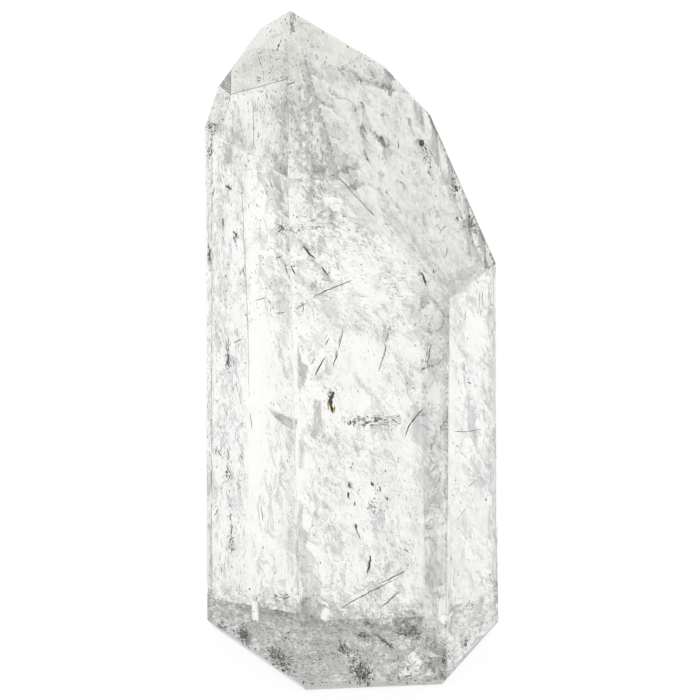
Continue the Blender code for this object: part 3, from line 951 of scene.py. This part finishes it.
# %% Lay the dark knots
KNOTS = [
    # mineral, middle, half size along and across, heading, count
    ("needles_black", (471, 224), (11, 7), 60, 44, 0.05), ("veil_dark", (471, 224), (14, 9), 60, 60, 0.05),
    ("veil_dark", (455, 184), (12, 6), 65, 50, 0.05), ("needles_black", (457, 219), (2, 2), 60, 10, 0.05),
    ("needles_black", (421, 142), (3, 2), 75, 16, 0.05), ("veil_dark", (422, 144), (6, 3), 75, 40, 0.05),
    ("veil_dark", (425, 156), (10, 6), 65, 44, 0.05),
    ("needles_black", (426, 282), (3.5, 1.3), 75, 16), ("veil_dark", (421, 274), (3.5, 2.5), 75, 20),
    ("veil_dark", (210, 152), (16, 4), 88, 40), ("veil_grey", (210, 128), (8, 5), 88, 30),
    ("veil_dark", (209.5, 256), (9, 2), 88, 30), ("needles_black", (209.5, 254), (7, 1.2), 88, 12),
    ("haze_teal", (236, 239), (9, 2.5), 88, 60), ("needles_black", (223, 224), (4, 1), 88, 10),
    ("haze_teal", (228, 357), (12, 2.5), 88, 60), ("veil_dark", (228, 357), (12, 1.6), 88, 30),
    ("veil_dark", (282, 228), (7, 5), 150, 16), ("veil_dark", (317, 230), (5, 2.5), 120, 12),
    ("veil_dark", (307, 251), (8, 4), 50, 16), ("veil_grey", (331, 395), (6, 3), 95, 40),
    ("veil_dark", (353, 421), (9, 3), 165, 44), ("veil_dark", (368, 420), (16, 4), 172, 60),
    ("needles_black", (370, 421), (9, 2), 172, 10), ("haze_teal", (366, 422), (17, 4), 172, 70),
    ("veil_grey", (372, 420), (18, 6), 172, 50),
    ("veil_dark", (394, 421), (9, 6), 160, 36), ("veil_dark", (373, 508), (9, 8), 60, 50),
    ("veil_dark", (231, 530), (30, 2.2), 88, 70), ("needles_black", (231, 530), (26, 1.2), 88, 14),
    ("veil_dark", (229, 475), (9, 3), 80, 40), ("veil_dark", (219, 452), (4, 3), 60, 20),
    ("needles_black", (369, 566), (8, 1.4), 100, 20), ("needles_black", (350, 485), (3, 1.5), 80, 8),
    ("needles_black", (348, 495), (4, 1.5), 80, 8), ("needles_black", (372, 484), (2, 1.6), 80, 6),
    ("needles_black", (380, 489), (2, 1.6), 80, 6), ("needles_black", (387, 498), (2, 1.2), 80, 5),
    ("veil_dark", (282, 597), (12, 4), 175, 40), ("veil_dark", (245, 636), (10, 5), 70, 90),
    ("needles_black", (245, 636), (9, 3.5), 70, 40), ("veil_dark", (222, 626), (6, 3), 50, 40),
    ("veil_dark", (280, 660), (14, 8), 35, 120), ("needles_black", (285, 668), (16, 4), 40, 50),
    ("veil_dark", (285, 637), (4, 4), 0, 20), ("needles_black", (343, 650), (9, 5), 70, 70),
    ("needles_black", (360, 670), (15, 8), 60, 110), ("veil_dark", (360, 670), (18, 10), 60, 120),
    ("veil_dark", (408, 630), (16, 10), 20, 130), ("needles_black", (410, 630), (14, 8), 20, 60),
    ("needles_black", (370, 625), (6, 3), 10, 24), ("veil_dark", (362, 635), (9, 3), 20, 40),
    ("veil_dark", (385, 642), (14, 2), 40, 40), ("veil_dark", (409, 673), (6, 3), 90, 30),
    ("haze_teal", (243, 637), (10, 5), 70, 90), ("haze_teal", (278, 657), (16, 9), 38, 150),
    ("haze_teal", (358, 667), (18, 9), 60, 140), ("haze_teal", (222, 627), (6, 4), 50, 40),
    ("needles_black", (372, 624), (7, 2.5), 10, 30), ("needles_black", (404, 633), (10, 5), 30, 40),
    ("veil_dark", (452, 661), (4, 3), 90, 20), ("veil_dark", (466, 642), (8, 3), 100, 30),
]
knots = [lay_blot(*knot) for knot in KNOTS]
print("flakes in knots:", sum(knots), "in", len(knots), "knots")

# %% [markdown]
# ## Needles and threads
# Tourmaline grows through quartz as thin straight needles. Some have broken into chains of short
# pieces. Each is a closed four-sided rod that narrows at both ends.

# %% Lay the needles
NEEDLES = [
    # mineral, width in pixels, depth, trail of pixels
    ("needles_black", 0.7, 0.040, [(282, 39), (279, 45), (276, 52)]),
    ("needles_black", 0.6, 0.048, [(258.5, 56), (260, 62), (263, 69)]),
    ("needles_black", 0.6, 0.048, [(275, 60.5), (281, 57.5)]),
    ("needles_black", 0.7, 0.048, [(268, 73), (271, 73)]),
    ("needles_black", 0.8, 0.048, [(336, 98), (345, 98.5), (352, 102)]),
    ("veil_white", 1.4, 0.040, [(286, 86), (291, 83.5), (296, 82)]),
    ("needles_black", 2.6, 0.040, [(225, 186), (229, 187.5), (232, 190)]),
    ("film_gold", 1.2, 0.036, [(224, 184.5), (227, 186), (229, 185.5)]),
    ("film_gold", 1.0, 0.036, [(226, 190), (229, 191)]),
    ("needles_black", 0.7, 0.040, [(218, 172), (221, 178), (223, 185)]),
    ("veil_grey", 0.6, 0.048, [(241, 165), (245, 260), (248, 330), (249, 400)]),
    ("veil_grey", 0.6, 0.048, [(253, 95), (253.5, 120), (254, 150)]),
    ("needles_black", 1.2, 0.060, [(256, 203), (258, 208)]),
    ("veil_dark", 0.9, 0.060, [(268.5, 178), (273, 188)]),
    ("needles_black", 1.1, 0.048, [(243, 267), (244, 272), (245, 277)]),
    ("needles_black", 0.9, 0.048, [(250.5, 412), (251, 420), (252.5, 430)]),
    ("veil_dark", 0.6, 0.060, [(233, 343), (244, 339)]),
    ("veil_dark", 0.8, 0.060, [(236, 381), (238, 393)]),
    ("needles_black", 0.8, 0.060, [(277, 223), (288, 233)]),
    ("needles_black", 0.8, 0.060, [(276, 233), (288, 224)]),
    ("veil_dark", 0.8, 0.060, [(282, 220), (283, 236)]),
    ("needles_black", 0.7, 0.060, [(306, 222), (318, 219)]),
    ("needles_black", 1.6, 0.080, [(303, 246), (309, 253), (316, 259)]),
    ("needles_black", 1.3, 0.088, [(321, 266), (329, 277)]),
    ("needles_black", 1.2, 0.080, [(290, 265), (296, 275)]),
    ("veil_dark", 0.7, 0.080, [(275, 258), (280, 257), (284, 254)]),
    ("needles_black", 0.9, 0.060, [(312, 297), (330, 289), (353, 280)]),
    ("veil_dark", 0.7, 0.060, [(255, 301), (267, 297)]),
    ("needles_black", 0.9, 0.060, [(275, 314), (285, 312)]),
    ("veil_dark", 0.7, 0.060, [(295, 309), (307, 303)]),
    ("veil_dark", 0.7, 0.060, [(303, 300), (303, 315)]),
    ("needles_black", 1.2, 0.060, [(325, 357), (319, 367), (314.5, 376)]),
    ("needles_black", 0.9, 0.060, [(330, 337), (327, 342), (325, 346)]),
    ("veil_dark", 0.8, 0.080, [(343, 329), (341, 340), (338, 350)]),
    ("needles_black", 1.1, 0.080, [(338, 350), (336, 358), (333, 365)]),
    ("veil_dark", 0.9, 0.100, [(391, 327), (386, 340), (385.5, 352), (378, 372)]),
    ("needles_black", 3.2, 0.048, [(334, 391), (330.5, 399), (331, 406), (333, 413)]),
    ("film_gold", 1.5, 0.046, [(328.6, 400), (327.6, 405), (329.0, 410)]),
    ("film_gold", 1.3, 0.046, [(334.6, 405), (334.8, 409), (333.6, 414)]),
    ("needles_black", 1.3, 0.080, [(424, 408), (415, 418), (409, 425), (405, 437)]),
    ("veil_dark", 1.0, 0.048, [(428, 148), (434, 158), (440, 168)]),
    ("needles_black", 1.1, 0.048, [(400, 170), (404, 175)]),
    ("needles_black", 1.0, 0.048, [(458, 185), (462, 190)]),
    ("needles_black", 0.8, 0.048, [(434, 197), (437, 195)]),
    ("needles_black", 0.8, 0.048, [(443, 193), (446, 198)]),
    ("veil_dark", 0.9, 0.048, [(428, 209), (431, 217)]),
    ("needles_black", 0.9, 0.048, [(436, 224), (443, 234)]),
    ("needles_black", 0.7, 0.048, [(440, 231), (447, 225)]),
    ("needles_black", 1.3, 0.048, [(478, 245), (486, 251)]),
    ("needles_black", 0.9, 0.048, [(447, 248), (446, 256)]),
    ("needles_black", 0.9, 0.048, [(476, 280), (479, 285)]),
    ("veil_dark", 1.4, 0.048, [(483, 290), (482, 305)]),
    ("needles_black", 1.1, 0.048, [(466, 308), (464.5, 322)]),
    ("needles_black", 0.9, 0.048, [(481, 308), (480, 318)]),
    ("needles_black", 1.2, 0.048, [(465, 364), (464, 371)]),
    ("needles_black", 1.2, 0.048, [(467, 382), (472, 384)]),
    ("veil_dark", 0.9, 0.060, [(454, 431), (466, 432), (482, 429)]),
    ("needles_black", 0.8, 0.060, [(476, 480), (468, 488)]),
    ("veil_grey", 0.7, 0.060, [(468, 505), (455, 523)]),
    ("needles_black", 0.9, 0.060, [(219, 507), (217, 511), (213, 517)]),
    ("needles_black", 1.2, 0.060, [(261, 505), (262, 514), (263, 522)]),
    ("veil_dark", 0.8, 0.060, [(235, 482), (242, 488)]),
    ("veil_dark", 0.9, 0.080, [(407, 570), (392, 578), (378, 584)]),
    ("veil_dark", 0.9, 0.080, [(340, 609), (362, 596), (393, 580)]),
    ("veil_dark", 1.1, 0.080, [(400, 591), (391, 599), (382, 607)]),
    ("veil_dark", 0.9, 0.080, [(355, 526), (361, 541)]),
    ("veil_dark", 0.9, 0.080, [(372, 632), (384, 641), (395, 650)]),
    ("needles_black", 0.9, 0.060, [(404, 548), (408, 553)]),
    ("needles_black", 0.9, 0.060, [(387, 538), (388, 541)]),
    ("veil_grey", 0.9, 0.060, [(427, 366), (431, 343)]),
    ("needles_black", 1.8, 0.040, [(348.5, 482), (350, 487)]),
    ("needles_black", 1.8, 0.040, [(347.5, 492), (348.5, 498)]),
    ("needles_black", 1.5, 0.040, [(355.5, 501), (354, 506)]),
    ("needles_black", 1.9, 0.040, [(355, 523), (357, 529)]),
    ("needles_black", 1.3, 0.040, [(371, 481), (373, 487)]),
    ("needles_black", 1.3, 0.040, [(379, 486), (381, 491)]),
    ("needles_black", 1.6, 0.040, [(370.5, 555), (369.5, 564), (367, 574)]),
    ("needles_black", 1.9, 0.025, [(420.5, 272), (424, 278), (426, 286)]),
    ("needles_black", 1.5, 0.040, [(209, 249), (210, 262)]),
    ("needles_black", 1.2, 0.040, [(223.5, 217), (223, 231)]),
    ("needles_black", 1.0, 0.040, [(228, 336), (229, 352)]),
    ("needles_black", 1.3, 0.040, [(227, 448), (229, 457)]),
    ("needles_black", 1.3, 0.040, [(240.5, 453), (242, 461)]),
    ("needles_black", 1.2, 0.040, [(480, 291), (479.5, 302), (479, 311)]),
]
SPECKS = [(281, 41), (278.5, 46), (277, 50), (291, 14), (263, 72), (260.5, 78), (262, 91.5), (307.5, 41), (318, 47), (326, 57.5), (372, 63),
          (381, 68), (391, 74), (404, 92), (361, 80.5), (238, 122), (268, 124), (258.5, 133), (280, 138),
          (249, 161), (388, 116), (397, 122), (373.5, 152), (423, 181), (349, 181), (356, 180), (378, 189),
          (371, 192), (349, 194), (396, 218), (424, 243), (444, 236), (209, 178.5), (216.5, 199), (223, 238),
          (242, 193), (252, 190), (210, 270), (226, 276), (227, 291), (226, 300), (231, 308), (246, 315),
          (238, 320), (297, 217), (260, 315), (311, 435), (340, 459), (358, 391), (407, 383), (413, 388),
          (385.5, 471), (351, 467), (428, 303), (437, 318), (415, 325), (467, 338), (457, 446), (453, 443),
          (486, 500), (458, 575), (451, 559), (490, 575), (221, 568), (237, 590), (250, 589), (257, 598),
          (359, 490), (355, 526), (378, 513), (408, 565), (345, 615), (338, 617), (398, 658), (241, 456),
          (228.5, 458), (223, 477), (350, 483), (349, 487), (348, 495), (355, 505), (356.5, 529), (372, 484),
          (380, 489), (387, 498), (369.5, 557), (368.5, 563), (367.5, 571), (425, 279), (427, 285)]
threads = [lay_thread(mineral, trail, width, depth, 0.25) for mineral, width, depth, trail in NEEDLES]
print("needles and threads:", sum(threads), "of", len(threads))
spots = np.array(SPECKS, float)
dots = lay_flakes("needles_black", spots, RANDOM.uniform(40, 110, len(spots)), RANDOM.uniform(1.6, 3.4, len(spots)),
                  RANDOM.uniform(1.2, 2.0, len(spots)), RANDOM.uniform(0.06, 0.2, len(spots)), tilt=0.2, thick=0.9)
print("specks:", dots, "of", len(SPECKS))

# %% Join and count
print("triangles inside the stone:", join_minerals() + join_films())
